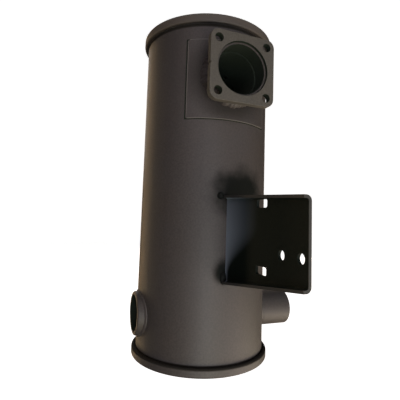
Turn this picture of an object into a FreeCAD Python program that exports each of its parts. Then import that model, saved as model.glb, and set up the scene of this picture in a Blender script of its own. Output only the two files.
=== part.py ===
import FreeCAD, Part
import math
import os

# Muffler: an upright double-seamed can with a side inlet flange, two low ports and a welded bracket.
# Millimetres. Z is the can's axis, and z = 0 is the floor that it stands on.
# The inlet flange looks along -Y, the outlet ports lie along X, and the bracket stands out along -Y.

# Can
shell_diameter = 152.0
can_height = 382.5
sheet = 1.5
seam_height = 10.0
seam_clearance = 0.1
seam_bend = 0.7
cap_recess = 16.0
cap_dish = 4.0
cap_flat_radius = 58.0
cap_dish_radius = 42.0
cap_bend = 3.0
cap_dish_bend = 10.0
seam_weld_width = 4.0
seam_weld_rise = 0.8

# Weld beads: how far the middle of a fillet bead bulges, and how round a saddle bead is, as shares of its leg
bead_bulge = 0.6
bead_rounding = 0.8

# Inlet
inlet_drop = 67.5
flange_stand_off = 25.2
flange_side = 73.5
flange_thickness = 7.0
flange_corner = 9.0
flange_edge = 0.6
flange_notch = 1.3
flange_bolt_spacing = 55.0
flange_bolt_hole = 9.0
flange_weld = 3.5
neck_diameter = 57.0
neck_wall = 2.0
neck_setback = 3.0
neck_inside = 8.0
neck_clearance = 0.15
neck_weld = 6.0
pad_sheet = 1.5
pad_width = 94.6
pad_height = 88.0
pad_drop = 4.5
pad_corner = 2.0

# Ports: a stub whose end is sized for a clamp, its pickup tube inside, and a collar with a seat for a pipe
stub_height = 46.3
collar_height = 48.9
port_clearance = 0.1
stub_diameter = 43.2
stub_end_diameter = 43.6
stub_end_length = 37.0
stub_taper = 1.5
stub_wall = 2.0
stub_stand_out = 41.5
stub_inside = 16.0
stub_weld = 2.9
collar_diameter = 48.8
collar_stand_out = 5.5
collar_inside = 12.0
collar_edge = 2.0
collar_bore = 40.4
collar_seat = 14.0
collar_stop_bore = 36.4
collar_weld = 1.8
pickup_length = 112.0
pickup_wall = 1.5
pickup_overlap = 12.0

# Bracket
bracket_sheet = 2.5
bracket_length = 133.7
bracket_bend = 2.0
bracket_lip = 6.8
bracket_top_root = 184.6
bracket_top_tip = 178.3
bracket_bottom_root = 92.3
bracket_bottom_tip = 109.3
bracket_hole = 8.5
bracket_hole_height = 132.3
bracket_hole_distances = (100.5, 125.1)
slot_length = 17.0
slot_width = 7.4
slot_corner = 2.0
slot_distance = 70.5
slot_heights = (174.0, 116.0)
bracket_weld = 3.0
corner_weld_radius = 4.3
corner_weld_sunk = 0.8
top_weld_drop = 0.6
top_weld_length = 0.6
top_weld_forward = 9.7
bottom_weld_lift = 2.7
bottom_weld_length = 6.5
bottom_weld_forward = 4.6

# Inside
upper_chamber_height = 146.5
lower_chamber_height = 104.0
baffle_rim = 14.0
baffle_bend = 3.0
baffle_clearance = 0.15
diffuser_wall = 1.5
diffuser_overlap = 14.0
diffuser_end_gap = 16.0
plug_depth = 10.0
plug_bend = 2.0
tube_clearance = 0.1
transfer_diameter = 34.0
transfer_wall = 1.5
transfer_from_bore = 35.5
transfer_stand_out = 12.0
transfer_count = 3
perforation = 6.0
perforation_pitch = 13.0
perforation_rows = 5
perforation_count = 10

X = FreeCAD.Vector(1, 0, 0)
Y = FreeCAD.Vector(0, 1, 0)
Z = FreeCAD.Vector(0, 0, 1)
ORIGIN = FreeCAD.Vector(0, 0, 0)

shell_radius = shell_diameter / 2
shell_bore = shell_radius - sheet
transfer_circle = shell_bore - transfer_from_bore
beyond = shell_diameter + can_height
cut_past = 1.0
tolerance = 0.01

# Double seam, from the shell outwards: the cap's hook, the shell's hook, then the cap's outer wall
cap_hook = shell_radius + seam_clearance
shell_hook = cap_hook + sheet + seam_clearance
cap_wall = shell_hook + sheet + seam_clearance

pad_radius = shell_radius + pad_sheet
flange_reach = shell_radius + flange_stand_off
flange_back = flange_reach - flange_thickness
neck_radius = neck_diameter / 2
neck_hole = neck_radius + neck_clearance
stub_radius = stub_diameter / 2
stub_hole = stub_radius + port_clearance
collar_radius = collar_diameter / 2
collar_hole = collar_radius + port_clearance
pickup_radius = stub_radius - stub_wall - port_clearance
stub_reach = shell_radius + stub_stand_out
collar_reach = shell_radius + collar_stand_out
inlet_centre = Z * (can_height - inlet_drop)
stub_centre = Z * stub_height
collar_centre = Z * collar_height
bracket_reach = shell_radius + bracket_length
upper_baffle_height = can_height - upper_chamber_height


def point(x, y, z):
    return FreeCAD.Vector(x, y, z)


def rod(radius, start, direction, length):
    return Part.makeCylinder(radius, length, start, direction)


def pipe(radius, wall, start, direction, length):
    return rod(radius, start, direction, length).cut(rod(radius - wall, start, direction, length))


def drum(radius):
    """A cylinder on the can's axis that runs past both of its ends."""
    return rod(radius, -Z * beyond, Z, 2 * beyond)


def turned(section):
    """A section in the XZ plane turned once round the Z axis."""
    return section.revolve(ORIGIN, Z, 360)


def aimed(shape, place, direction):
    """A shape made along Z from the origin, set at a place and turned to a direction."""
    shape.Placement = FreeCAD.Placement(place, FreeCAD.Rotation(Z, direction))
    return shape


def corner_arc(before, corner, after, radius):
    """The tangent arc that rounds a corner, as its start, middle and end."""
    back = (before - corner).normalize()
    ahead = (after - corner).normalize()
    half = back.getAngle(ahead) / 2
    reach = radius / math.tan(half)
    inwards = (back + ahead).normalize()
    middle = corner + inwards * (radius / math.sin(half) - radius)
    return corner + back * reach, middle, corner + ahead * reach


def rounded_face(outline):
    """A face inside straight runs, given as (corner, radius) pairs, with an arc at each rounded corner."""
    count = len(outline)
    stretches = []
    for index, (corner, radius) in enumerate(outline):
        before = outline[index - 1][0]
        after = outline[(index + 1) % count][0]
        stretches.append(corner_arc(before, corner, after, radius) if radius else (corner, None, corner))
    edges = []
    for index, (start, middle, end) in enumerate(stretches):
        if middle is not None:
            edges.append(Part.Arc(start, middle, end).toShape())
        following = stretches[(index + 1) % count][0]
        if end.distanceToPoint(following) > 1e-5:
            edges.append(Part.makeLine(end, following))
    return Part.Face(Part.Wire(edges))


def sheet_section(path, thickness):
    """The section of a bent sheet in an XZ plane: (point, inner bend radius) pairs along its middle."""
    near_side = []
    far_side = []
    last = len(path) - 1
    for index, (corner, bend) in enumerate(path):
        ahead = (path[min(index, last - 1) + 1][0] - path[min(index, last - 1)][0]).normalize()
        back = (path[max(index, 1)][0] - path[max(index, 1) - 1][0]).normalize()
        side = back.cross(Y)
        miter = (side + ahead.cross(Y)).normalize()
        reach = thickness / 2 / miter.dot(side)
        bends_near = back.cross(ahead).dot(Y) < 0
        outer = bend + thickness if bend else 0
        near_side.append((corner + miter * reach, bend if bends_near else outer))
        far_side.append((corner - miter * reach, outer if bends_near else bend))
    return rounded_face(near_side + far_side[::-1])


def rectangle(centre, across, up, width, height, corner):
    """A rounded rectangle spanned by two unit vectors."""
    half_across = across * (width / 2)
    half_up = up * (height / 2)
    corners = (centre - half_across - half_up, centre + half_across - half_up,
               centre + half_across + half_up, centre - half_across + half_up)
    return rounded_face([(place, corner) for place in corners])


def ring_bead(radius, leg, start, direction):
    """A weld bead round a pipe, against a flat face at start, running along direction."""
    foot = point(radius + leg, 0, 0)
    crown = point(radius + leg * bead_bulge, 0, leg * bead_bulge)
    top = point(radius, 0, leg)
    root = point(radius, 0, 0)
    section = Part.Face(Part.Wire([Part.Arc(foot, crown, top).toShape(), Part.makeLine(top, root),
                                   Part.makeLine(root, foot)]))
    return aimed(turned(section), start, direction)


def saddle_bead(radius, leg, centre, direction, seat_radius):
    """A weld bead round a pipe where it meets a wall that is curved round the can's axis."""
    ring = pipe(radius + leg, leg, centre, direction, beyond)
    bead = ring.common(drum(seat_radius + leg)).cut(drum(seat_radius))
    rim = [edge for edge in bead.Edges if lies_on(edge, radius + leg, centre, direction, seat_radius + leg)]
    return bead.makeFillet(leg * bead_rounding, rim)


def lies_on(edge, radius, centre, direction, drum_radius):
    """Whether an edge runs on a pipe's outside and on a drum round the can's axis."""
    for share in (0.13, 0.5, 0.87):
        first, last = edge.ParameterRange
        place = edge.valueAt(first + (last - first) * share)
        from_pipe = (place - centre).cross(direction).Length
        from_axis = math.hypot(place.x, place.y)
        if abs(from_pipe - radius) > tolerance or abs(from_axis - drum_radius) > tolerance:
            return False
    return True


def perforations(centre, direction, radius):
    """Rods that pierce a tube in rings, each rod making two holes."""
    rods = []
    sideways = direction.cross(Z)
    middle_row = (perforation_rows - 1) / 2
    for row in range(perforation_rows):
        ring_centre = centre + direction * ((row - middle_row) * perforation_pitch)
        for step in range(perforation_count // 2):
            angle = 2 * math.pi * (step + 0.5 * (row % 2)) / perforation_count
            aim = Z * math.cos(angle) + sideways * math.sin(angle)
            start = ring_centre - aim * (radius + cut_past)
            rods.append(rod(perforation / 2, start, aim, 2 * (radius + cut_past)))
    return rods


def seam_fold(end, outwards):
    """The shell's edge at one end of the can, from its wall out to the tip of its hook."""
    fold = end - outwards * (1.5 * sheet + seam_clearance)
    tip = end - outwards * (seam_height - sheet - seam_bend)
    wall = shell_radius - sheet / 2
    hook = shell_hook + sheet / 2
    return [(point(wall, 0, fold), seam_bend), (point(hook, 0, fold), seam_bend), (point(hook, 0, tip), 0)]


def make_shell():
    wall = turned(sheet_section(seam_fold(0, -1)[::-1] + seam_fold(can_height, 1), sheet))
    inlet_cut = rod(neck_hole, inlet_centre, -Y, beyond)
    stub_cut = rod(stub_hole, stub_centre, X, beyond)
    collar_cut = rod(collar_hole, collar_centre, -X, beyond)
    return wall.cut([inlet_cut, stub_cut, collar_cut])


def make_shell_seam():
    """The butt weld that closes the rolled shell, on the side away from the flange."""
    fall = shell_radius - math.sqrt(shell_radius ** 2 - (seam_weld_width / 2) ** 2)
    rise = seam_weld_rise + fall
    bead_radius = ((seam_weld_width / 2) ** 2 + rise ** 2) / (2 * rise)
    low = seam_height + seam_clearance
    centre_y = shell_radius + seam_weld_rise - bead_radius
    bead = rod(bead_radius, point(0, centre_y, low), Z, can_height - 2 * low)
    return bead.cut(drum(shell_radius))


def make_cap(end, outwards):
    """A pressed cap: dished panel, wall inside the shell, then the seam over the shell's edge."""
    inside_wall = shell_bore - seam_clearance - sheet / 2
    panel = end - outwards * cap_recess
    dish = panel + outwards * cap_dish
    crest = end - outwards * sheet / 2
    fold = end - outwards * (seam_height - sheet / 2)
    hook_tip = end - outwards * (3 * sheet + seam_clearance)
    path = [(point(0, 0, dish), 0), (point(cap_dish_radius, 0, dish), cap_dish_bend),
            (point(cap_flat_radius, 0, panel), cap_dish_bend), (point(inside_wall, 0, panel), cap_bend),
            (point(inside_wall, 0, crest), seam_bend), (point(cap_wall + sheet / 2, 0, crest), seam_bend),
            (point(cap_wall + sheet / 2, 0, fold), seam_bend),
            (point(cap_hook + sheet / 2, 0, fold), seam_bend), (point(cap_hook + sheet / 2, 0, hook_tip), 0)]
    return turned(sheet_section(path, sheet))


def make_inlet_flange():
    outline = rectangle(inlet_centre - Y * flange_reach, X, Z, flange_side, flange_side, flange_corner)
    plate = outline.extrude(Y * flange_thickness)
    rims = [edge for edge in plate.Edges if abs(edge.BoundBox.YLength) < tolerance]
    plate = plate.makeFillet(flange_edge, rims)
    start = inlet_centre - Y * (flange_reach + cut_past)
    depth = flange_thickness + 2 * cut_past
    holes = [rod(neck_hole, start, Y, depth)]
    half = flange_bolt_spacing / 2
    for across in (-half, half):
        for up in (-half, half):
            holes.append(rod(flange_bolt_hole / 2, start + X * across + Z * up, Y, depth))
    holes.append(rod(flange_notch, start - X * (flange_side / 2), Y, depth))
    return plate.cut(holes)


def make_inlet_neck():
    front = flange_reach - neck_setback
    back = shell_bore - neck_inside
    return pipe(neck_radius, neck_wall, inlet_centre - Y * front, Y, front - back)


def make_inlet_pad():
    centre = inlet_centre - Z * pad_drop
    blank = rectangle(centre, X, Z, pad_width, pad_height, pad_corner).extrude(-Y * shell_diameter)
    sheet_ring = drum(pad_radius).cut(drum(shell_radius))
    return sheet_ring.common(blank).cut(rod(neck_hole, inlet_centre, -Y, beyond))


def make_outlet_collar():
    """A turned collar: a seat for a pipe at its mouth, then a smaller bore that stops the pipe."""
    length = collar_reach - shell_bore + collar_inside
    start = collar_centre - X * collar_reach
    body = rod(collar_radius, start, X, length)
    mouth = [edge for edge in body.Edges if abs(edge.BoundBox.XMax - start.x) < tolerance]
    seat = rod(collar_bore / 2, start - X * cut_past, X, collar_seat + cut_past)
    stop = rod(collar_stop_bore / 2, start, X, length + cut_past)
    return body.makeFillet(collar_edge, mouth).cut([seat, stop])


def make_outlet_stub():
    inner_end = shell_bore - stub_inside
    taper_end = stub_reach - stub_end_length
    root = stub_radius - stub_wall / 2
    sized = (stub_end_diameter - stub_wall) / 2
    path = [(point(root, 0, inner_end), 0), (point(root, 0, taper_end - stub_taper), 0),
            (point(sized, 0, taper_end), 0), (point(sized, 0, stub_reach), 0)]
    return aimed(turned(sheet_section(path, stub_wall)), stub_centre, X)


def make_outlet_pickup():
    """The perforated tube that gathers the gas in the bottom chamber; the stub's root holds one end of it."""
    last = shell_bore - stub_inside + pickup_overlap
    first = last - pickup_length
    tube = pipe(pickup_radius, pickup_wall, stub_centre + X * first, X, pickup_length)
    free_middle = (first + last - pickup_overlap) / 2
    return tube.cut(perforations(stub_centre + X * free_middle, X, pickup_radius))


def bracket_section(reach):
    """The bracket's channel section at a distance from the can's axis; its edges slope evenly."""
    share = (reach - shell_radius) / (bracket_reach - shell_radius)
    top = bracket_top_root + (bracket_top_tip - bracket_top_root) * share
    bottom = bracket_bottom_root + (bracket_bottom_tip - bracket_bottom_root) * share
    half = bracket_sheet / 2
    path = [(point(-bracket_lip, -reach, top - half), 0), (point(-half, -reach, top - half), bracket_bend),
            (point(-half, -reach, bottom + half), bracket_bend),
            (point(-bracket_lip, -reach, bottom + half), 0)]
    return sheet_section(path, bracket_sheet).OuterWire


def make_bracket():
    ends = [bracket_section(shell_radius - bracket_lip), bracket_section(bracket_reach)]
    channel = Part.makeLoft(ends, True, True)
    channel = channel.cut(drum(shell_radius))
    depth = bracket_sheet + 2 * cut_past
    cuts = [rod(bracket_hole / 2, point(cut_past, -shell_radius - distance, bracket_hole_height), -X, depth)
            for distance in bracket_hole_distances]
    for height in slot_heights:
        place = point(cut_past, -shell_radius - slot_distance, height)
        slot = rectangle(place, Y, Z, slot_length, slot_width, slot_corner)
        cuts.append(slot.extrude(-X * depth))
    return channel.cut(cuts)


def make_bracket_weld():
    """The long bead on the bracket's flat side, between its bends."""
    leg = bracket_weld
    root = point(0, leg - shell_radius, 0)
    tip = point(0, -shell_radius - leg, 0)
    crown = point(leg * bead_bulge, -shell_radius - leg * bead_bulge, 0)
    foot = point(leg, -shell_radius, 0)
    heel = point(leg, leg - shell_radius, 0)
    section = Part.Face(Part.Wire([Part.makeLine(root, tip), Part.Arc(tip, crown, foot).toShape(),
                                   Part.makeLine(foot, heel), Part.makeLine(heel, root)]))
    bends = bracket_sheet + bracket_bend
    low = bracket_bottom_root + bends
    section.translate(Z * low)
    return section.extrude(Z * (bracket_top_root - bends - low)).cut(drum(shell_radius))


def make_corner_weld(low, length, forward, bracket):
    """A lump of weld where a lip meets the shell: it wraps the lip's cut edge."""
    radius = corner_weld_radius
    slant = radius * math.sqrt(0.5)
    near_end = (point(0, 0, -radius), point(slant, 0, -slant), point(radius, 0, 0))
    far_end = (point(radius, 0, length), point(slant, 0, length + slant), point(0, 0, length + radius))
    section = Part.Face(Part.Wire([Part.Arc(*near_end).toShape(), Part.makeLine(near_end[2], far_end[0]),
                                   Part.Arc(*far_end).toShape(), Part.makeLine(far_end[2], near_end[0])]))
    lump = turned(section)
    lump.translate(point(-forward, corner_weld_sunk - shell_radius, low))
    return lump.cut([drum(shell_radius), bracket])


def transfer_places():
    places = []
    for index in range(transfer_count):
        angle = 2 * math.pi * index / transfer_count + math.pi / 2
        places.append(point(transfer_circle * math.cos(angle), transfer_circle * math.sin(angle), 0))
    return places


def make_baffle(height, rim_up):
    """A pressed disc whose rim is turned along the shell, with a hole for each transfer tube."""
    wall = shell_bore - baffle_clearance - sheet / 2
    path = [(point(0, 0, height), 0), (point(wall, 0, height), baffle_bend),
            (point(wall, 0, height + rim_up * baffle_rim), 0)]
    disc = turned(sheet_section(path, sheet))
    hole = transfer_diameter / 2 + tube_clearance
    return disc.cut([rod(hole, place + Z * (height - sheet), Z, 2 * sheet) for place in transfer_places()])


def make_transfer_tube(place):
    low = lower_chamber_height - transfer_stand_out
    length = upper_baffle_height + transfer_stand_out - low
    return pipe(transfer_diameter / 2, transfer_wall, place + Z * low, Z, length)


diffuser_radius = neck_radius - neck_wall - tube_clearance
diffuser_front = shell_bore - neck_inside + diffuser_overlap
diffuser_length = diffuser_front + shell_bore - diffuser_end_gap


def make_inlet_diffuser():
    start = inlet_centre - Y * diffuser_front
    tube = pipe(diffuser_radius, diffuser_wall, start, Y, diffuser_length)
    return tube.cut(perforations(inlet_centre, Y, diffuser_radius))


def make_diffuser_plug():
    """A pressed cup, pushed into the diffuser's far end with its rim outwards."""
    wall = diffuser_radius - diffuser_wall - tube_clearance - diffuser_wall / 2
    path = [(point(0, 0, 0), 0), (point(wall, 0, 0), plug_bend), (point(wall, 0, plug_depth), 0)]
    cup = turned(sheet_section(path, diffuser_wall))
    end = diffuser_length - diffuser_front
    return aimed(cup, inlet_centre + Y * (end - plug_depth), Y)


def make_parts():
    bracket = make_bracket()
    parts = {
        "shell": make_shell(),
        "shell_seam": make_shell_seam(),
        "top_cap": make_cap(can_height, 1),
        "bottom_cap": make_cap(0, -1),
        "inlet_pad": make_inlet_pad(),
        "inlet_neck": make_inlet_neck(),
        "inlet_flange": make_inlet_flange(),
        "inlet_flange_weld": ring_bead(neck_radius, flange_weld, inlet_centre - Y * flange_back, Y),
        "inlet_neck_weld": saddle_bead(neck_radius, neck_weld, inlet_centre, -Y, pad_radius),
        "outlet_collar": make_outlet_collar(),
        "outlet_collar_weld": saddle_bead(collar_radius, collar_weld, collar_centre, -X, shell_radius),
        "outlet_stub": make_outlet_stub(),
        "outlet_stub_weld": saddle_bead(stub_radius, stub_weld, stub_centre, X, shell_radius),
        "outlet_pickup": make_outlet_pickup(),
        "mounting_bracket": bracket,
        "bracket_weld_back": make_bracket_weld(),
        "bracket_weld_top": make_corner_weld(bracket_top_root - top_weld_drop, top_weld_length,
                                             top_weld_forward, bracket),
        "bracket_weld_bottom": make_corner_weld(bracket_bottom_root + bottom_weld_lift, bottom_weld_length,
                                                bottom_weld_forward, bracket),
        "upper_baffle": make_baffle(upper_baffle_height, 1),
        "lower_baffle": make_baffle(lower_chamber_height, -1),
        "inlet_diffuser": make_inlet_diffuser(),
        "diffuser_plug": make_diffuser_plug(),
    }
    for number, place in enumerate(transfer_places(), 1):
        parts[f"transfer_tube_{number}"] = make_transfer_tube(place)
    return parts


os.makedirs("parts", exist_ok=True)
for name, shape in make_parts().items():
    shape.exportStep(f"parts/{name}.step")
    print(name, shape.ShapeType, len(shape.Solids), "valid" if shape.isValid() else "not valid",
          round(shape.Volume, 1))
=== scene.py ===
import math

import bmesh
import bpy
from bpy.props import FloatProperty, FloatVectorProperty, PointerProperty, StringProperty
from mathutils import Matrix, Vector, noise


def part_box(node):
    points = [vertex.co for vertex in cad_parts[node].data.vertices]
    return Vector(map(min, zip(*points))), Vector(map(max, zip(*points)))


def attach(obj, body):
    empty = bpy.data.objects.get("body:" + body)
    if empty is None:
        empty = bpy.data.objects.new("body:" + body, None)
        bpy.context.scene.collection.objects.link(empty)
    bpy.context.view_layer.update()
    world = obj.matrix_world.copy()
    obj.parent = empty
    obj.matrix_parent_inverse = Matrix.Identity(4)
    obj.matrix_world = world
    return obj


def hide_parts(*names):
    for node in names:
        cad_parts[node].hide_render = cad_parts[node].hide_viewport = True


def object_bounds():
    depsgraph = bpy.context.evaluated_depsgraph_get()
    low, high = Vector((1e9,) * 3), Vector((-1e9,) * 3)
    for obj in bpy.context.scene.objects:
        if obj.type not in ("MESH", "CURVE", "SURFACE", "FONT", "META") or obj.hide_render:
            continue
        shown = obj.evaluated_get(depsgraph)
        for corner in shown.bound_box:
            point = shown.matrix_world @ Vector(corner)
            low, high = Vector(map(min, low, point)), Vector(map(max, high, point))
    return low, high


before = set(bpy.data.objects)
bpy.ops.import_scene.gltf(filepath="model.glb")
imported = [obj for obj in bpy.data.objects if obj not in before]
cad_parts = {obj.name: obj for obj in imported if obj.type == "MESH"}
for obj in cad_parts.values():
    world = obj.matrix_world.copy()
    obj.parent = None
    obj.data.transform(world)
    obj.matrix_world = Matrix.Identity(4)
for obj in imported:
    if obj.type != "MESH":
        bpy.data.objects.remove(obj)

# Muffler: paint, weld beads and studio round the built can. Metres, Z up, the inlet flange looks along -Y.

bl_info = {
    "name": "Can muffler finish",
    "version": (1, 0, 0),
    "blender": (4, 5, 0),
    "location": "3D View > Sidebar > Muffler",
    "description": "Weld beads, heat-resistant paint and a studio for a can muffler with a side flange",
    "category": "Object",
}

CAD_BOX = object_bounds()
MID_HEIGHT = (CAD_BOX[0].z + CAD_BOX[1].z) / 2
BODY = "root"
MM = 0.001
QUARTER_TURN = math.pi / 2

# Soot where the gas has been, drawn dark enough to stand for the shade inside the bores and bolt holes too:
# how far it reaches from the middle of each bore or hole, just past its edge
FLANGE_BORE_SOOT = 28.8 * MM
BOLT_HOLE_SOOT = 4.7 * MM
NECK_SOOT = 26.7 * MM
COLLAR_SOOT = 20.4 * MM
STUB_SOOT = 20.0 * MM

# How far a bolt hole is from the middle of the flange, sideways and up, in metres
BOLT_PLACE = (0.0275, 0, 0.0275)

# Painted shadow on the can over the bracket and painted shade under it: middle and radii in metres, and the
# share of each that is fully dark
SHADOW_ABOVE_BRACKET = ((0.015, -0.072, 0.188), (0.044, 0.060, 0.036), 0.42)
SHADE_BELOW_BRACKET = ((-0.006, -0.076, 0.105), (0.013, 0.060, 0.018), 0.30)


def wall_radius(node):
    """The radius of a node's round wall about the can's axis, away from the seams at its ends."""
    low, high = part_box(node)
    margin = (high.z - low.z) / 10
    return max(math.hypot(v.co.x, v.co.y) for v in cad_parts[node].data.vertices
               if low.z + margin < v.co.z < high.z - margin)


SHELL_RADIUS = wall_radius("shell")


def middle(node):
    """The middle of a node's box."""
    low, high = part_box(node)
    return (low + high) / 2


def half_height(node):
    """Half of a node's height, which is the radius of a pipe or a ring that lies level."""
    low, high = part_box(node)
    return (high.z - low.z) / 2


class BeadSizes(bpy.types.PropertyGroup):
    """How the hand-laid weld beads look."""
    ripple_pitch: FloatProperty(name="Ripple pitch", description="Distance between two ripples of a bead",
                                default=2.4 * MM, min=0.5 * MM, unit="LENGTH")
    ripple_rise: FloatProperty(name="Ripple rise", description="Height of one ripple",
                               default=0.28 * MM, min=0, unit="LENGTH")
    wander: FloatProperty(name="Wander", default=0.22, min=0, max=0.6, subtype="FACTOR",
                          description="How much a bead's width varies, as a share of its leg")
    lump: FloatProperty(name="Lump", description="Radius of the weld lump at the end of a bracket lip",
                        default=4.3 * MM, min=0, unit="LENGTH")
    sunk: FloatProperty(name="Sunk", description="How far a bead reaches into the metal that it joins",
                        default=0.5 * MM, min=0, unit="LENGTH")


class PaintColours(bpy.types.PropertyGroup):
    """The paint and steel colours, as sRGB hex."""
    body: StringProperty(name="Body paint", description="Heat-resistant paint on the can",
                         default="#3A3431")
    flange: StringProperty(name="Flange paint", description="The same paint, thinner, on the flange",
                           default="#433E37")
    # The bracket is drawn far darker than the can's same paint: that extra darkness is painted shade on its
    # flat side
    bracket: StringProperty(name="Bracket paint", description="The bracket's smoother black paint",
                            default="#0C120D")
    # Painted reflection: a pale blue-grey that stands for the lit can reflected in the bracket's flat side
    # near its weld
    painted_reflection: StringProperty(name="Heat bloom", description="Bracket paint turned chalky by the weld's heat",
                          default="#7E868E")
    # Partly worn thin paint on cut edges, partly a painted highlight where these edges catch light
    worn_edge_and_highlight: StringProperty(name="Worn edge", description="Cut edge that shows through thin paint",
                         default="#373532")
    # The top seam is drawn paler than the can's paint
    top_seam_tone: StringProperty(name="Dust", description="Dusty paint on the top seam", default="#484039")
    # Painted shade in the corners between the can's wall and its two seams
    seam_corner_shade: StringProperty(name="Seam dirt", description="Dirt in the corner between the wall and a seam",
                           default="#211E1A")
    # Painted shade: the can's wall darkened behind and around the flange
    flange_shade: StringProperty(name="Flange dirt", description="Dirty paint behind the flange",
                         default="#25211E")
    # Painted shadow: near black, standing for the bracket's shadow on the can and for the shade on its weld
    # lumps
    bracket_shadow: StringProperty(name="Scorch", description="Can paint burnt dark by the bracket's weld",
                           default="#121311")
    # Painted highlight: the lighter colour on the pad's edge stands for the light that this edge catches
    lit_and_worn_edge: StringProperty(name="Rubbed edge", description="Sheared edge rubbed through the paint",
                           default="#5C5650")
    # Soot in the bores, also standing for the shade deep inside the bores and bolt holes
    soot_and_shade: StringProperty(name="Soot", description="Carbon on every surface that the gas touches",
                         default="#1D221B")
    floor: StringProperty(name="Floor", description="Pale studio floor", default="#F6F5F3")


class StudioSizes(bpy.types.PropertyGroup):
    """The camera and the floor."""
    camera_place: FloatVectorProperty(name="Camera", description="Where the camera stands",
                                      default=(-0.16288, -0.41155, 0.15786), size=3, subtype="TRANSLATION")
    camera_forward: FloatVectorProperty(name="Forward", size=3, subtype="DIRECTION",
                                        description="The direction that the camera looks in",
                                        default=(0.358, 0.930, 0.085))
    camera_up: FloatVectorProperty(name="Up", description="The camera's own upward direction",
                                   default=(-0.061, -0.068, 0.996), size=3, subtype="DIRECTION")
    lens: FloatProperty(name="Lens", description="Focal length on a 36 mm sensor", default=31.48,
                        unit="CAMERA")
    shift: FloatVectorProperty(name="Shift", description="Sensor shift, as a share of its width",
                               default=(0.0002, -0.0247), size=2)
    floor_radius: FloatProperty(name="Floor radius", description="The flat floor's radius", default=1.6,
                                unit="LENGTH")


def settings():
    """The sizes and colours that a user may change."""
    return bpy.context.scene.muffler


def linear(hex_colour):
    """An sRGB hex colour as linear RGBA."""
    parts = [int(hex_colour[i:i + 2], 16) / 255 for i in (1, 3, 5)]
    return (*[c / 12.92 if c <= 0.04045 else ((c + 0.055) / 1.055) ** 2.4 for c in parts], 1.0)


def add(tree, kind, sockets=None, **options):
    """Adds a node with its options; each socket takes a value, or a link from another node's socket."""
    made = tree.nodes.new(kind)
    for name, value in options.items():
        setattr(made, name, value)
    for name, value in (sockets or {}).items():
        if isinstance(value, bpy.types.NodeSocket):
            tree.links.new(value, made.inputs[name])
        else:
            made.inputs[name].default_value = value
    return made


def new_material(name):
    """A material with an empty node tree."""
    material = bpy.data.materials.new(name)
    material.use_nodes = True
    material.node_tree.nodes.clear()
    return material


def near_axis(tree, place, keep, centre, radius, fold=(0, 0, 0), soft=0.15 * MM):
    """A mask of 1 within a radius of an axis. keep is 0 along the axis, and fold mirrors the place to one
    corner."""
    flat = add(tree, "ShaderNodeVectorMath", {0: place, 1: keep, 2: tuple(-c for c in centre)},
               operation="MULTIPLY_ADD")
    if any(fold):
        flat = add(tree, "ShaderNodeVectorMath", {0: flat.outputs[0]}, operation="ABSOLUTE")
        flat = add(tree, "ShaderNodeVectorMath", {0: flat.outputs[0], 1: fold}, operation="SUBTRACT")
    reach = add(tree, "ShaderNodeVectorMath", {0: flat.outputs[0]}, operation="LENGTH")
    mask = add(tree, "ShaderNodeMapRange", {"Value": reach.outputs["Value"], "From Min": radius - soft,
                                            "From Max": radius + soft, "To Min": 1.0, "To Max": 0.0})
    return mask.outputs["Result"]


def on_front(tree, place, mask):
    """The same mask on the can's front half, and 0 on its back."""
    last_front = -10 * MM
    axes = add(tree, "ShaderNodeSeparateXYZ", {0: place})
    front = add(tree, "ShaderNodeMath", {0: axes.outputs["Y"], 1: last_front}, operation="LESS_THAN")
    return add(tree, "ShaderNodeMath", {0: mask, 1: front.outputs[0]}, operation="MULTIPLY").outputs[0]


def front_ellipsoid(tree, place, centre, radii, core):
    """A mask of 1 inside the core share of an ellipsoid, which fades raggedly to 0 at its surface."""
    rag_size = 16 * MM
    rag = 0.5
    moved = add(tree, "ShaderNodeVectorMath", {0: place, 1: centre}, operation="SUBTRACT")
    scaled = add(tree, "ShaderNodeVectorMath", {0: moved.outputs[0], 1: radii}, operation="DIVIDE")
    reach = add(tree, "ShaderNodeVectorMath", {0: scaled.outputs[0]}, operation="LENGTH")
    clouds = add(tree, "ShaderNodeTexNoise", {"Vector": place, "Scale": 1 / rag_size, "Detail": 2.0})
    ragged = add(tree, "ShaderNodeMath", {0: clouds.outputs["Fac"], 1: rag, 2: reach.outputs["Value"]},
                 operation="MULTIPLY_ADD")
    level = add(tree, "ShaderNodeMath", {0: ragged.outputs[0], 1: rag / 2}, operation="SUBTRACT")
    mask = add(tree, "ShaderNodeMapRange", {"Value": level.outputs[0], "From Min": core, "From Max": 1.0,
                                            "To Min": 1.0, "To Max": 0.0}, interpolation_type="SMOOTHSTEP")
    return mask.outputs["Result"]


def bracket_shadow_mask(tree, place):
    """Painted shadow on the can over the bracket's top lip, where the bracket blocks the low light, and
    painted shade under its lower lip.
    """
    above = front_ellipsoid(tree, place, *SHADOW_ABOVE_BRACKET)
    below = front_ellipsoid(tree, place, *SHADE_BELOW_BRACKET)
    return add(tree, "ShaderNodeMath", {0: above, 1: below}, operation="MAXIMUM").outputs[0]


def flange_shade_mask(tree, place):
    """The can's wall behind the flange, darkened as painted shade under and beside the flange plate."""
    reach, fade = 42 * MM, 12 * MM
    inlet = middle("inlet_neck")
    patch = near_axis(tree, place, (1, 0, 1), (inlet.x, 0, inlet.z), reach, soft=fade)
    return on_front(tree, place, patch)


def paler_top_seam_mask(tree, place):
    """The top seam, drawn paler than the rest of the can."""
    none_below, full_above = CAD_BOX[1].z - 10.4 * MM, CAD_BOX[1].z - 9.6 * MM
    axes = add(tree, "ShaderNodeSeparateXYZ", {0: place})
    band = add(tree, "ShaderNodeMapRange", {"Value": axes.outputs["Z"], "From Min": none_below,
                                            "From Max": full_above})
    return band.outputs["Result"]


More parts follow.
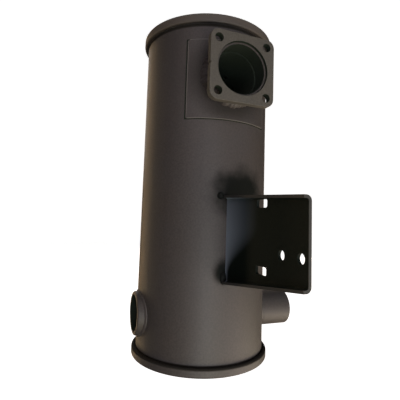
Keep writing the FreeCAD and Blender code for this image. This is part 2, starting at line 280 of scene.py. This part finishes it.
def seam_shade_mask(tree, place):
    """The two corners between the wall and a seam, darkened as painted shade where the seams shade the wall.
    """
    half_way = MID_HEIGHT - 1.0 * MM
    seam_corner_shade = CAD_BOX[1].z - half_way - 11.4 * MM
    full, gone = 0.9 * MM, 2.3 * MM
    wall_inside, wall_outside = SHELL_RADIUS - 1 * MM, SHELL_RADIUS - 0.3 * MM
    axes = add(tree, "ShaderNodeSeparateXYZ", {0: place})
    level = add(tree, "ShaderNodeMath", {0: axes.outputs["Z"], 1: half_way}, operation="SUBTRACT")
    fold = add(tree, "ShaderNodeMath", {0: level.outputs[0]}, operation="ABSOLUTE")
    off = add(tree, "ShaderNodeMath", {0: fold.outputs[0], 1: seam_corner_shade}, operation="SUBTRACT")
    away = add(tree, "ShaderNodeMath", {0: off.outputs[0]}, operation="ABSOLUTE")
    band = add(tree, "ShaderNodeMapRange", {"Value": away.outputs[0], "From Min": full, "From Max": gone,
                                            "To Min": 1.0, "To Max": 0.0})
    flat = add(tree, "ShaderNodeVectorMath", {0: place, 1: (1, 1, 0)}, operation="MULTIPLY")
    reach = add(tree, "ShaderNodeVectorMath", {0: flat.outputs[0]}, operation="LENGTH")
    outside = add(tree, "ShaderNodeMapRange", {"Value": reach.outputs["Value"], "From Min": wall_inside,
                                               "From Max": wall_outside})
    return add(tree, "ShaderNodeMath", {0: band.outputs["Result"], 1: outside.outputs["Result"]},
               operation="MULTIPLY").outputs[0]


def past_pad(tree, place):
    """How far a place is outside the pad's outline, in metres, seen from the front; negative on the pad."""
    low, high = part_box("inlet_pad")
    centre = ((low.x + high.x) / 2, 0, (low.z + high.z) / 2)
    moved = add(tree, "ShaderNodeVectorMath", {0: place, 1: centre}, operation="SUBTRACT")
    fold = add(tree, "ShaderNodeVectorMath", {0: moved.outputs[0]}, operation="ABSOLUTE")
    half = ((high.x - low.x) / 2, 1.0, (high.z - low.z) / 2)
    past = add(tree, "ShaderNodeVectorMath", {0: fold.outputs[0], 1: half}, operation="SUBTRACT")
    axes = add(tree, "ShaderNodeSeparateXYZ", {0: past.outputs[0]})
    return add(tree, "ShaderNodeMath", {0: axes.outputs["X"], 1: axes.outputs["Z"]},
               operation="MAXIMUM").outputs[0]


def pad_gap(tree, place):
    """The open joint round the pad: a dark line on the can's front."""
    full, gone = 0.6 * MM, 1.2 * MM
    past = past_pad(tree, place)
    line = add(tree, "ShaderNodeMapRange", {"Value": past, "From Min": full, "From Max": gone,
                                            "To Min": 1.0, "To Max": 0.0})
    return on_front(tree, place, line.outputs["Result"])


def pad_edge_highlight_mask(tree, place):
    """The pad's sheared edge, drawn lighter as a painted highlight where it catches light."""
    none, full = -0.7 * MM, -0.2 * MM
    pad_highlight = add(tree, "ShaderNodeMapRange", {"Value": past_pad(tree, place), "From Min": none,
                                           "From Max": full})
    return pad_highlight.outputs["Result"]


def painted_reflection_mask(tree, place):
    """A painted reflection of the lit can on the bracket's flat side: a mask that fades away from the
    bracket's weld. It reaches less far towards the bracket's lower lip.
    """
    low, high = 104 * MM, 154 * MM
    low_reach, high_reach = 8 * MM, 66 * MM
    fall_start, fall_end, fall_to = 142 * MM, 182 * MM, 0.7
    steepness = 1.4
    axes = add(tree, "ShaderNodeSeparateXYZ", {0: place})
    height = axes.outputs["Z"]
    away = add(tree, "ShaderNodeMath", {0: axes.outputs["Y"], 1: -1.0, 2: -SHELL_RADIUS},
               operation="MULTIPLY_ADD")
    reach = add(tree, "ShaderNodeMapRange", {"Value": height, "From Min": low, "From Max": high,
                                             "To Min": low_reach, "To Max": high_reach},
                interpolation_type="SMOOTHSTEP")
    share = add(tree, "ShaderNodeMath", {0: away.outputs[0], 1: reach.outputs["Result"]},
                operation="DIVIDE")
    left = add(tree, "ShaderNodeMapRange", {"Value": share.outputs[0], "To Min": 1.0, "To Max": 0.0})
    fade = add(tree, "ShaderNodeMath", {0: left.outputs["Result"], 1: steepness}, operation="POWER")
    fall = add(tree, "ShaderNodeMapRange", {"Value": height, "From Min": fall_start, "From Max": fall_end,
                                            "To Min": 1.0, "To Max": fall_to})
    return add(tree, "ShaderNodeMath", {0: fade.outputs[0], 1: fall.outputs["Result"]},
               operation="MULTIPLY").outputs[0]


def edge_wear_and_highlight_mask(tree, place):
    """A mask of 1 on the bracket's lip edges and outer end, which are drawn lighter: partly paint worn thin,
    partly a painted highlight where these edges catch light.
    """
    lit_and_worn_edge = 0.5 * MM
    axes = add(tree, "ShaderNodeSeparateXYZ", {0: place})
    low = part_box("mounting_bracket")[0]
    lip = add(tree, "ShaderNodeMapRange", {"Value": axes.outputs["X"], "From Min": low.x,
                                           "From Max": low.x + lit_and_worn_edge, "To Min": 1.0, "To Max": 0.0})
    end = add(tree, "ShaderNodeMapRange", {"Value": axes.outputs["Y"], "From Min": low.y,
                                           "From Max": low.y + lit_and_worn_edge, "To Min": 1.0, "To Max": 0.0})
    return add(tree, "ShaderNodeMath", {0: lip.outputs["Result"], 1: end.outputs["Result"]},
               operation="MAXIMUM").outputs[0]


def sprayed_paint(name, colour, roughness, gloss, grain_mm, grain_depth, mottle, layers=()):
    """Heat-resistant silicone paint, sprayed thin over mild steel: satin, with a fine grit and faint clouds.

    Its real grit is about 0.1 mm across, too fine to show, so the bump is drawn as coarse as grain_mm and the
    specks as coarse as speck_size. Each layer is a mask function with the colour and the roughness that show
    where it is 1, and the gloss where that changes too."""
    cloud_size, speck_size = 45 * MM, 1.8 * MM
    darkest_speck, lightest_speck = 0.87, 1.13
    rough_spread = 0.08
    noise_low, noise_high = 0.3, 0.7
    material = new_material(name)
    tree = material.node_tree
    place = add(tree, "ShaderNodeTexCoord").outputs["Object"]
    clouds = add(tree, "ShaderNodeTexNoise", {"Vector": place, "Scale": 1 / cloud_size, "Detail": 3.0,
                                              "Roughness": 0.55})
    base = linear(colour)
    warm = (base[0] * (1 + mottle), base[1], base[2] * (1 - mottle), 1.0)
    cool = (base[0] * (1 - mottle), base[1], base[2] * (1 + mottle), 1.0)
    tint = add(tree, "ShaderNodeMix", {0: clouds.outputs["Fac"], 6: cool, 7: warm},
               data_type="RGBA").outputs[2]
    specks = add(tree, "ShaderNodeTexNoise", {"Vector": place, "Scale": 1 / speck_size, "Detail": 1.0})
    speck = add(tree, "ShaderNodeMapRange", {"Value": specks.outputs["Fac"], "From Min": noise_low,
                                             "From Max": noise_high, "To Min": darkest_speck,
                                             "To Max": lightest_speck})
    tint = add(tree, "ShaderNodeMix", {0: 1.0, 6: tint, 7: speck.outputs["Result"]}, data_type="RGBA",
               blend_type="MULTIPLY").outputs[2]
    grit = add(tree, "ShaderNodeTexNoise", {"Vector": place, "Scale": 1 / (grain_mm * MM), "Detail": 2.0,
                                            "Roughness": 0.6})
    rough = add(tree, "ShaderNodeMapRange", {"Value": grit.outputs["Fac"], "From Min": noise_low,
                                             "From Max": noise_high, "To Min": roughness - rough_spread,
                                             "To Max": roughness + rough_spread}).outputs["Result"]
    shine = gloss
    for mask, layer_colour, layer_roughness, layer_gloss in layers:
        cover = mask(tree, place)
        tint = add(tree, "ShaderNodeMix", {0: cover, 6: tint, 7: linear(layer_colour)},
                   data_type="RGBA").outputs[2]
        rough = add(tree, "ShaderNodeMix", {0: cover, 2: rough, 3: layer_roughness}).outputs[0]
        if layer_gloss is not None:
            shine = add(tree, "ShaderNodeMix", {0: cover, 2: shine, 3: layer_gloss}).outputs[0]
    bump = add(tree, "ShaderNodeBump", {"Height": grit.outputs["Fac"], "Strength": 1.0,
                                        "Distance": grain_depth * MM})
    shader = add(tree, "ShaderNodeBsdfPrincipled", {"Base Color": tint, "Roughness": rough,
                                                    "Normal": bump.outputs["Normal"], "IOR": 1.5,
                                                    "Specular IOR Level": gloss})
    if shine is not gloss:
        # Only a gloss that changes over the surface is linked; a gloss that stays the same is set on the
        # socket. The export keeps the one on the socket.
        tree.links.new(shine, shader.inputs["Specular IOR Level"])
    add(tree, "ShaderNodeOutputMaterial", {"Surface": shader.outputs["BSDF"]})
    return material


def sooty_steel(name, colour):
    """Drawn mild steel tube that exhaust gas has coated: matt carbon black with a faint grain.

    The flakes of real soot are far finer, and are drawn 2 mm wide so that they show."""
    flake_size, flake_depth = 2 * MM, 0.05 * MM
    material = new_material(name)
    tree = material.node_tree
    place = add(tree, "ShaderNodeTexCoord").outputs["Object"]
    flakes = add(tree, "ShaderNodeTexNoise", {"Vector": place, "Scale": 1 / flake_size, "Detail": 3.0})
    bump = add(tree, "ShaderNodeBump", {"Height": flakes.outputs["Fac"], "Distance": flake_depth})
    shader = add(tree, "ShaderNodeBsdfPrincipled", {"Base Color": linear(colour), "Roughness": 0.9,
                                                    "Specular IOR Level": 0.1,
                                                    "Normal": bump.outputs["Normal"]})
    add(tree, "ShaderNodeOutputMaterial", {"Surface": shader.outputs["BSDF"]})
    return material


def floor_paper(name, colour):
    """Matt studio paper, lit from behind so that it stays pale and even.

    Its real fibres are finer than the render shows, so they are drawn 4 mm wide, and kept faint."""
    fibre_size, fibre_depth = 4 * MM, 0.05 * MM
    material = new_material(name)
    tree = material.node_tree
    place = add(tree, "ShaderNodeTexCoord").outputs["Object"]
    fibre = add(tree, "ShaderNodeTexNoise", {"Vector": place, "Scale": 1 / fibre_size, "Detail": 2.0})
    bump = add(tree, "ShaderNodeBump", {"Height": fibre.outputs["Fac"], "Strength": 0.1,
                                        "Distance": fibre_depth})
    shader = add(tree, "ShaderNodeBsdfPrincipled",
                 {"Base Color": linear(colour), "Roughness": 0.9, "Normal": bump.outputs["Normal"],
                  "Emission Color": (1.0, 1.0, 1.0, 1.0), "Emission Strength": 0.95})
    add(tree, "ShaderNodeOutputMaterial", {"Surface": shader.outputs["BSDF"]})
    return material


def finish(bm, name, material, slot=None, replaced=()):
    """Turns a bmesh into a piece with a material. One with a slot rides on the body; the floor has none."""
    bmesh.ops.recalc_face_normals(bm, faces=bm.faces)
    mesh = bpy.data.meshes.new(name)
    bm.to_mesh(mesh)
    bm.free()
    mesh.shade_smooth()
    piece = bpy.data.objects.new(name, mesh)
    bpy.context.scene.collection.objects.link(piece)
    mesh.materials.append(material)
    if slot:
        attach(piece, BODY)
    if replaced:
        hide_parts(*replaced)
    return piece


def fillet_section(bm, leg, sunk, points):
    """The section of a fillet bead in the XZ plane: foot at x = leg, top at z = leg, heel sunk in.

    bulge says how far its face stands out: 0.5 is flat, and a quarter circle is the square root of 0.5."""
    corner = [Vector((-sunk, 0, -sunk)), Vector((leg, 0, -sunk))]
    bulge = 0.62
    roundness = (bulge - 0.5) / (math.sqrt(0.5) - 0.5)
    for index in range(points):
        share = index / (points - 1)
        angle = share * QUARTER_TURN
        flat = Vector((leg * (1 - share), 0, leg * share))
        curved = Vector((leg * math.cos(angle), 0, leg * math.sin(angle)))
        corner.append(flat.lerp(curved, roundness))
    corner.append(Vector((-sunk, 0, leg)))
    return [bm.verts.new(co) for co in corner]


def bead_swell(along, across):
    """How far a bead's ripples stand out at a place along and across it, in metres. They lag midway."""
    sizes = settings().beads
    middle_lag, crest_sharpness = 0.35, 1.6
    lag = middle_lag * math.sin(across * math.pi)
    ripple = math.sin(2 * math.pi * (along / sizes.ripple_pitch - lag))
    ripple = 1 - abs(ripple) ** crest_sharpness
    return ripple * sizes.ripple_rise


def bead_scale(along, seed, wander):
    """How wide a bead is at a place along it, as a share of its leg: a hand's slow sway and quick shake.

    seed gives each bead a place of its own in the noise."""
    sway, shake = 7 * MM, 2.6 * MM
    sway_share, shake_share = 1.4, 0.6
    slow = noise.noise(Vector((along / sway, seed * 7.3, 0)))
    fast = noise.noise(Vector((along / shake, seed * 3.1, 5)))
    return 1 + wander * (sway_share * slow + shake_share * fast)


def ring_bead(name, material, replaced, pipe_radius, leg, centre, out, wall, seed, wander):
    """A bead round a pipe. out points along the pipe, away from the wall, and wall gives the wall's height
    above the plane through centre; None is a flat wall. Its width evens out where its two ends meet."""
    steps_per_ripple, face_points = 7, 9
    closing_angle = 0.12
    bm = bmesh.new()
    sunk = settings().beads.sunk
    section = fillet_section(bm, leg, sunk, face_points)
    edges = [bm.edges.new((a, b)) for a, b in zip(section, section[1:] + section[:1])]
    bmesh.ops.translate(bm, verts=section, vec=(pipe_radius, 0, 0))
    length = 2 * math.pi * (pipe_radius + leg / 2)
    steps = int(length / settings().beads.ripple_pitch) * steps_per_ripple
    bmesh.ops.spin(bm, geom=section + edges, cent=(0, 0, 0), axis=(0, 0, 1), angle=2 * math.pi,
                   steps=steps, use_merge=True)
    side = out.orthogonal().normalized()
    up = out.cross(side)
    for vert in bm.verts:
        turn = math.atan2(vert.co.y, vert.co.x)
        ahead = Vector((math.cos(turn), math.sin(turn)))
        reach = math.hypot(vert.co.x, vert.co.y) - pipe_radius
        rise = vert.co.z
        along = (turn + math.pi) * (pipe_radius + leg / 2)
        blend = min(1.0, (math.pi - abs(turn)) / closing_angle)
        grow = 1 + (bead_scale(along, seed, wander * settings().beads.wander) - 1) * blend
        outside = reach > 0 and rise > 0
        reach = reach * grow if reach > 0 else reach
        rise = rise * grow if rise > 0 else rise
        if outside:
            share = math.atan2(rise, reach) / QUARTER_TURN
            swell = bead_swell(along, share) * math.sin(math.pi * share)
            reach += swell * math.cos(share * QUARTER_TURN)
            rise += swell * math.sin(share * QUARTER_TURN)
        radius = pipe_radius + reach
        across = ahead.x * radius
        high = ahead.y * radius
        base = wall(across, high, side, up) if wall else 0.0
        vert.co = centre + side * across + up * high + out * (base + rise)
    return finish(bm, name, material, "weld_paint", replaced)


def drum_wall(radius):
    """The height of a wall that is curved round the can's axis, over the plane through that axis."""
    def height(across, high, side, up):
        level = side * across + up * high
        return math.sqrt(max(0.0, radius ** 2 - level.x ** 2 - level.y ** 2))
    return height


class MUFFLER_OT_paint(bpy.types.Operator):
    """Puts the paints and the sooty steel on the built nodes"""
    bl_idname = "muffler.paint"
    bl_label = "Paint the can"

    def execute(self, context):
        colours = settings().colours
        inlet = middle("inlet_neck")
        collar = middle("outlet_collar")
        stub = middle("outlet_stub")
        along_y, along_x = (1, 0, 1), (0, 1, 1)

        def soot_and_shade(keep, centre, radius, fold=(0, 0, 0)):
            flat = tuple(k * c for k, c in zip(keep, centre))
            return (lambda tree, place: near_axis(tree, place, keep, flat, radius, fold),
                    colours.soot_and_shade, 0.9, 0.1)

        # A paint's colour, roughness, gloss, grain and its depth in millimetres, and mottle
        body = (colours.body, 0.55, 0.3, 0.9, 0.03, 0.06)
        flange = (colours.flange, 0.6, 0.3, 0.8, 0.05, 0.05)
        # Near-black bracket paint: its darkness is partly painted shade
        bracket = (colours.bracket, 0.7, 0.08, 0.7, 0.02, 0.05)
        # The weld lumps' paint: its darkness is painted shade
        shadow_paint = (colours.bracket_shadow, 0.7, 0.1, 0.9, 0.03, 0.05)
        # A layer's mask, colour, roughness and gloss
        top_seam_tone = (paler_top_seam_mask, colours.top_seam_tone, 0.65, None)
        # Painted shade next to the seams
        seam_corner_shade = (seam_shade_mask, colours.seam_corner_shade, 0.8, 0.05)
        # Painted shade round the flange
        flange_shade = (flange_shade_mask, colours.flange_shade, 0.7, 0.12)
        # Painted shadow of the bracket on the can
        bracket_shadow = (bracket_shadow_mask, colours.bracket_shadow, 0.7, 0.05)
        gap = (pad_gap, colours.soot_and_shade, 0.9, 0.05)
        # Painted highlight along the pad's edge
        pad_highlight = (pad_edge_highlight_mask, colours.lit_and_worn_edge, 0.5, 0.4)
        # Painted reflection of the lit can on the bracket near its weld
        painted_reflection = (painted_reflection_mask, colours.painted_reflection, 0.75, None)
        edge = (edge_wear_and_highlight_mask, colours.worn_edge_and_highlight, 0.6, None)
        # Soot and painted shade inside the bores and bolt holes
        bores = (soot_and_shade(along_y, inlet, FLANGE_BORE_SOOT), soot_and_shade(along_y, inlet, BOLT_HOLE_SOOT, BOLT_PLACE))
        neck_bore = soot_and_shade(along_y, inlet, NECK_SOOT)
        collar_bore = soot_and_shade(along_x, collar, COLLAR_SOOT)
        stub_bore = soot_and_shade(along_x, stub, STUB_SOOT)
        black_steel = sooty_steel("sooted_steel_tube", colours.soot_and_shade)
        finishes = {
            "body_paint": sprayed_paint("silicone_paint_can", *body, (top_seam_tone, seam_corner_shade)),
            "flange_paint": sprayed_paint("silicone_paint_flange", *flange, bores),
            "bracket_paint": sprayed_paint("silicone_paint_bracket", *bracket, (painted_reflection, edge)),
            "weld_paint": sprayed_paint("silicone_paint_welds", *body),
            "inner_steel": black_steel,
        }
        own = {
            "shell": sprayed_paint("silicone_paint_shell", *body, (seam_corner_shade, flange_shade, bracket_shadow, gap)),
            "inlet_pad": sprayed_paint("silicone_paint_pad", *body, (flange_shade, pad_highlight)),
            "bracket_weld_top": sprayed_paint("silicone_paint_in_shadow", *shadow_paint),
            "inlet_neck": sprayed_paint("silicone_paint_neck", *body, (neck_bore,)),
            "outlet_collar": sprayed_paint("silicone_paint_collar", *body, (collar_bore,)),
            "outlet_stub": sprayed_paint("silicone_paint_stub", *body, (stub_bore,)),
        }
        for name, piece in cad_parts.items():
            finish_of_node = own.get(name) or finishes[piece.data.materials[0].name]
            for index in range(len(piece.material_slots)):
                piece.material_slots[index].link = "OBJECT"
                piece.material_slots[index].material = finish_of_node
        return {"FINISHED"}


class MUFFLER_OT_pipe_beads(bpy.types.Operator):
    """Lays the weld beads round the neck, the flange, the collar and the stub"""
    bl_idname = "muffler.pipe_beads"
    bl_label = "Pipe weld beads"

    def execute(self, context):
        material = bpy.data.materials["silicone_paint_welds"]
        neck = half_height("inlet_neck")
        collar = half_height("outlet_collar")
        stub = half_height("outlet_stub_weld") - (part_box("outlet_stub_weld")[1].x - SHELL_RADIUS)
        inlet = Vector((0, 0, middle("inlet_neck").z))
        port = Vector((0, 0, middle("outlet_collar").z))
        outlet = Vector((0, 0, middle("outlet_stub").z))
        flange_back = Vector((0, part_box("inlet_flange")[1].y, inlet.z))
        front, back, left, right = (Vector(way) for way in ((0, -1, 0), (0, 1, 0), (-1, 0, 0), (1, 0, 0)))
        pad = drum_wall(-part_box("inlet_pad")[0].y)
        shell = drum_wall(SHELL_RADIUS)
        for name, node, pipe_radius, centre, out, wall, seed, wander in (
                ("neck_bead", "inlet_neck_weld", neck, inlet, front, pad, 1.0, 1.2),
                ("flange_bead", "inlet_flange_weld", neck, flange_back, back, None, 2.0, 1.0),
                ("collar_bead", "outlet_collar_weld", collar, port, left, shell, 3.0, 1.0),
                ("stub_bead", "outlet_stub_weld", stub, outlet, right, shell, 4.0, 1.0)):
            leg = half_height(node) - pipe_radius
            ring_bead(name, material, [node], pipe_radius, leg, centre, out, wall, seed, wander)
        return {"FINISHED"}


def straight_bead(name, material, replaced, section, low, length, swell):
    """A bead laid up the can's height: its section, drawn at z = low, is swept up in short steps."""
    steps_per_ripple = 6
    bm = bmesh.new()
    verts = [bm.verts.new((x, y, low)) for x, y in section]
    edges = [bm.edges.new((a, b)) for a, b in zip(verts, verts[1:] + verts[:1])]
    steps = int(length / settings().beads.ripple_pitch * steps_per_ripple)
    swept = bmesh.ops.spin(bm, geom=edges, cent=(0, 0, 0), axis=(0, 0, 1), angle=0.0,
                           dvec=(0, 0, length / steps), steps=steps, use_merge=False)
    last = [part for part in swept["geom_last"] if isinstance(part, bmesh.types.BMEdge)]
    bmesh.ops.contextual_create(bm, geom=last)
    bmesh.ops.contextual_create(bm, geom=edges)
    for vert in bm.verts:
        vert.co += swell(vert.co)
    return finish(bm, name, material, "weld_paint", replaced)


class MUFFLER_OT_bracket_beads(bpy.types.Operator):
    """Lays the long bead on the bracket's flat side and the lumps at the ends of its lips"""
    bl_idname = "muffler.bracket_beads"
    bl_label = "Bracket weld beads"

    def execute(self, context):
        material = bpy.data.materials["silicone_paint_welds"]
        sizes = settings().beads
        face_steps, narrowest, seed = 8, 0.78, 5.0
        heel_depth, steadiness = 1.6, 0.6
        low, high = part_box("bracket_weld_back")
        leg = high.x
        heel = sizes.sunk * heel_depth - SHELL_RADIUS
        section = [(-sizes.sunk, heel), (leg, heel)]
        for index in range(face_steps + 1):
            angle = index / face_steps * QUARTER_TURN
            reach = leg * (narrowest + (1 - narrowest) * abs(math.cos(2 * angle)))
            section.append((reach * math.cos(angle), -SHELL_RADIUS - reach * math.sin(angle)))
        section.append((-sizes.sunk, -SHELL_RADIUS - leg))

        def swell(place):
            out = Vector((place.x, place.y + SHELL_RADIUS, 0))
            if place.x < 0 or out.y > 0 or out.length < leg / 2:
                return Vector()
            ahead = out.normalized()
            across = math.atan2(-ahead.y, ahead.x) / QUARTER_TURN
            ripple = bead_swell(place.z, across) * math.sin(math.pi * across)
            return ahead * (ripple + out.length * (bead_scale(place.z, seed, sizes.wander) - 1) * steadiness)

        straight_bead("bracket_bead", material, ["bracket_weld_back"], section, low.z, high.z - low.z,
                      swell)
        # The lumps get the painted-shadow paint: their darkness is painted shade
        shadow_paint = bpy.data.materials["silicone_paint_in_shadow"]
        self.lump("top_lump", shadow_paint, "bracket_weld_top", 6.0)
        self.lump("bottom_lump", shadow_paint, "bracket_weld_bottom", 8.0)
        return {"FINISHED"}

    def lump(self, name, material, replaced, seed):
        """A blob of weld metal as big as its node, with the ripples of its last passes."""
        pass_width = 1.5 * MM
        mean_size, unevenness, ripple_share = 0.92, 0.07, 0.05
        noise_scale, slant = 1.6, 0.8
        low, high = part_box(replaced)
        radius = settings().beads.lump
        tall = (high.z - low.z) / 2
        centre = Vector((low.x + radius, low.y + radius, (low.z + high.z) / 2))
        bm = bmesh.new()
        bmesh.ops.create_icosphere(bm, subdivisions=5, radius=1.0)
        for vert in bm.verts:
            place = vert.co
            rough = noise.noise(place * noise_scale + Vector((seed, 0, 0)))
            ripple = abs(math.sin(place.z * tall / pass_width * math.pi / 2 + slant * place.x))
            size = mean_size + unevenness * rough - ripple_share * ripple
            vert.co = centre + Vector((place.x * radius, place.y * radius, place.z * tall)) * size
        finish(bm, name, material, "weld_paint", [replaced])


class MUFFLER_OT_seam_bead(bpy.types.Operator):
    """Lays the bead that closes the rolled shell down its back"""
    bl_idname = "muffler.seam_bead"
    bl_label = "Shell seam bead"

    def execute(self, context):
        material = bpy.data.materials["silicone_paint_welds"]
        half_steps, crown, seed = 4, 0.8, 7.0
        foot = SHELL_RADIUS - 0.1 * MM
        low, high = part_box("shell_seam")
        half = (high.x - low.x) / 2
        rise = high.y - SHELL_RADIUS
        section = [(half, SHELL_RADIUS - rise), (-half, SHELL_RADIUS - rise)]
        for index in range(2 * half_steps + 1):
            share = index / half_steps - 1
            section.append((half * share, foot + rise * crown * (1 - share ** 2)))

        def swell(place):
            if place.y < SHELL_RADIUS:
                return Vector()
            side = abs(place.x) / half
            ripple = bead_swell(place.z, 0.5 - side / 2) * (1 - side)
            width = bead_scale(place.z, seed, settings().beads.wander / 2) - 1
            return Vector((place.x * width, ripple / 2, 0))

        straight_bead("seam_bead", material, ["shell_seam"], section, low.z, high.z - low.z, swell)
        return {"FINISHED"}


# Soft boxes round the can, which all face its middle: name, degrees round from the front towards +X, degrees
# up, distance, width and height in metres, power in watts and linear colour. The low ones stand for what a
# pale floor throws back up, and the strips behind draw the thin warm lines down the can's two edges.
LAMPS = (
    ("front_box", -10, -20, 0.9, 0.4, 0.4, 4.7, (0.85, 0.92, 1.0)),
    ("key_box", -10, 25, 0.9, 0.4, 0.4, 1.6, (0.96, 0.95, 1.0)),
    ("left_box", -40, 25, 0.9, 0.4, 0.4, 1.2, (1.0, 0.86, 0.95)),
    ("floor_box", 0, -40, 0.9, 0.4, 0.4, 2.4, (1.0, 0.88, 0.50)),
    ("right_box", 30, -20, 0.9, 0.4, 0.4, 1.4, (0.85, 0.90, 1.0)),
    ("low_right_box", 50, -40, 0.9, 0.4, 0.4, 4.0, (1.0, 0.85, 0.72)),
    ("high_right_box", 50, 25, 0.9, 0.4, 0.4, 0.5, (0.70, 0.85, 1.0)),
    ("low_side_box", 80, -40, 0.9, 0.4, 0.4, 2.35, (1.0, 0.89, 0.65)),
    ("left_strip", -140, 0, 1.3, 0.12, 1.9, 4.4, (1.0, 0.80, 0.52)),
    ("back_strip", -155, 0, 1.3, 0.12, 1.9, 4.2, (1.0, 0.63, 0.32)),
    ("right_strip", 135, 0, 1.3, 0.12, 1.9, 2.6, (1.0, 0.78, 0.62)),
    ("back_box", 180, 25, 1.4, 0.8, 0.8, 5.0, (1.0, 0.97, 0.94)),
    ("top_box", 0, 89, 1.5, 1.2, 1.2, 2.5, (1.0, 1.0, 1.0)),
)


class MUFFLER_OT_stage(bpy.types.Operator):
    """Sets the floor, the lights and the camera"""
    bl_idname = "muffler.stage"
    bl_label = "Studio"

    def execute(self, context):
        scene = context.scene
        self.floor(settings().studio.floor_radius)
        world = bpy.data.worlds.new("studio_air")
        scene.world = world
        world.use_nodes = True
        background = world.node_tree.nodes["Background"]
        background.inputs["Color"].default_value = (1.0, 0.97, 0.93, 1.0)
        background.inputs["Strength"].default_value = 0.01
        for lamp in LAMPS:
            self.light(scene, *lamp)
        self.camera(scene, settings().studio)
        scene.view_settings.view_transform = "Standard"
        return {"FINISHED"}

    def floor(self, radius):
        """A flat round floor that curves up into an upright wall, with the can at its middle."""
        curve_steps, turn_steps = 12, 96
        sweep = 0.5 * radius
        wall_top = 3 * sweep
        merged = 1e-6
        bm = bmesh.new()
        places = [(0, 0, 0), (radius, 0, 0)]
        for index in range(1, curve_steps + 1):
            angle = index / curve_steps * QUARTER_TURN
            places.append((radius + sweep * math.sin(angle), 0, sweep - sweep * math.cos(angle)))
        places.append((radius + sweep, 0, wall_top))
        section = [bm.verts.new(place) for place in places]
        edges = [bm.edges.new((a, b)) for a, b in zip(section, section[1:])]
        bmesh.ops.spin(bm, geom=section + edges, cent=(0, 0, 0), axis=(0, 0, 1), angle=2 * math.pi,
                       steps=turn_steps, use_merge=True)
        bmesh.ops.remove_doubles(bm, verts=bm.verts, dist=merged)
        floor = finish(bm, "studio_floor", floor_paper("studio_paper", settings().colours.floor))
        # The floor's own light stays off the can: the lamps below it stand for that light.
        floor.visible_diffuse = floor.visible_glossy = floor.visible_shadow = False

    def camera(self, scene, studio):
        """The photograph's camera."""
        forward = Vector(studio.camera_forward).normalized()
        right = forward.cross(Vector(studio.camera_up)).normalized()
        up = right.cross(forward)
        turn = Matrix((right, up, -forward)).transposed()
        data = bpy.data.cameras.new("camera")
        data.lens = studio.lens
        data.sensor_width = 36.0
        data.shift_x, data.shift_y = studio.shift
        data.clip_start = 0.01
        camera = bpy.data.objects.new("camera", data)
        camera.matrix_world = Matrix.Translation(studio.camera_place) @ turn.to_4x4()
        scene.collection.objects.link(camera)
        scene.camera = camera

    def light(self, scene, name, azimuth, elevation, distance, width, height, power, colour):
        """One soft box, which the camera doesn't see."""
        data = bpy.data.lights.new(name, "AREA")
        data.shape = "RECTANGLE"
        data.size = width
        data.size_y = height
        data.energy = power
        data.color = colour
        lamp = bpy.data.objects.new(name, data)
        around = math.radians(azimuth)
        rise = math.radians(elevation)
        level = math.cos(rise)
        out = Vector((math.sin(around) * level, -math.cos(around) * level, math.sin(rise)))
        place = Vector((0, 0, MID_HEIGHT)) + out * distance
        lamp.matrix_world = Matrix.Translation(place) @ (-out).to_track_quat("-Z", "Y").to_matrix().to_4x4()
        lamp.visible_camera = False
        scene.collection.objects.link(lamp)


class MufflerSettings(bpy.types.PropertyGroup):
    """All that a user may change."""
    beads: PointerProperty(type=BeadSizes)
    colours: PointerProperty(type=PaintColours)
    studio: PointerProperty(type=StudioSizes)


class MUFFLER_PT_panel(bpy.types.Panel):
    """Lists the settings and the steps"""
    bl_label = "Muffler"
    bl_idname = "MUFFLER_PT_panel"
    bl_space_type = "VIEW_3D"
    bl_region_type = "UI"
    bl_category = "Muffler"

    def draw(self, context):
        for group in (settings().beads, settings().colours, settings().studio):
            for name in type(group).__annotations__:
                self.layout.prop(group, name)
        for step in STEPS:
            self.layout.operator(step.bl_idname)


STEPS = (MUFFLER_OT_paint, MUFFLER_OT_pipe_beads, MUFFLER_OT_bracket_beads, MUFFLER_OT_seam_bead,
         MUFFLER_OT_stage)
CLASSES = (BeadSizes, PaintColours, StudioSizes, MufflerSettings) + STEPS + (MUFFLER_PT_panel,)


def register():
    for made in CLASSES:
        bpy.utils.register_class(made)
    bpy.types.Scene.muffler = PointerProperty(type=MufflerSettings)


def unregister():
    del bpy.types.Scene.muffler
    for made in reversed(CLASSES):
        bpy.utils.unregister_class(made)


def main():
    register()
    bpy.ops.muffler.paint()
    bpy.ops.muffler.pipe_beads()
    bpy.ops.muffler.bracket_beads()
    bpy.ops.muffler.seam_bead()
    bpy.ops.muffler.stage()


if __name__ == "__main__":
    main()
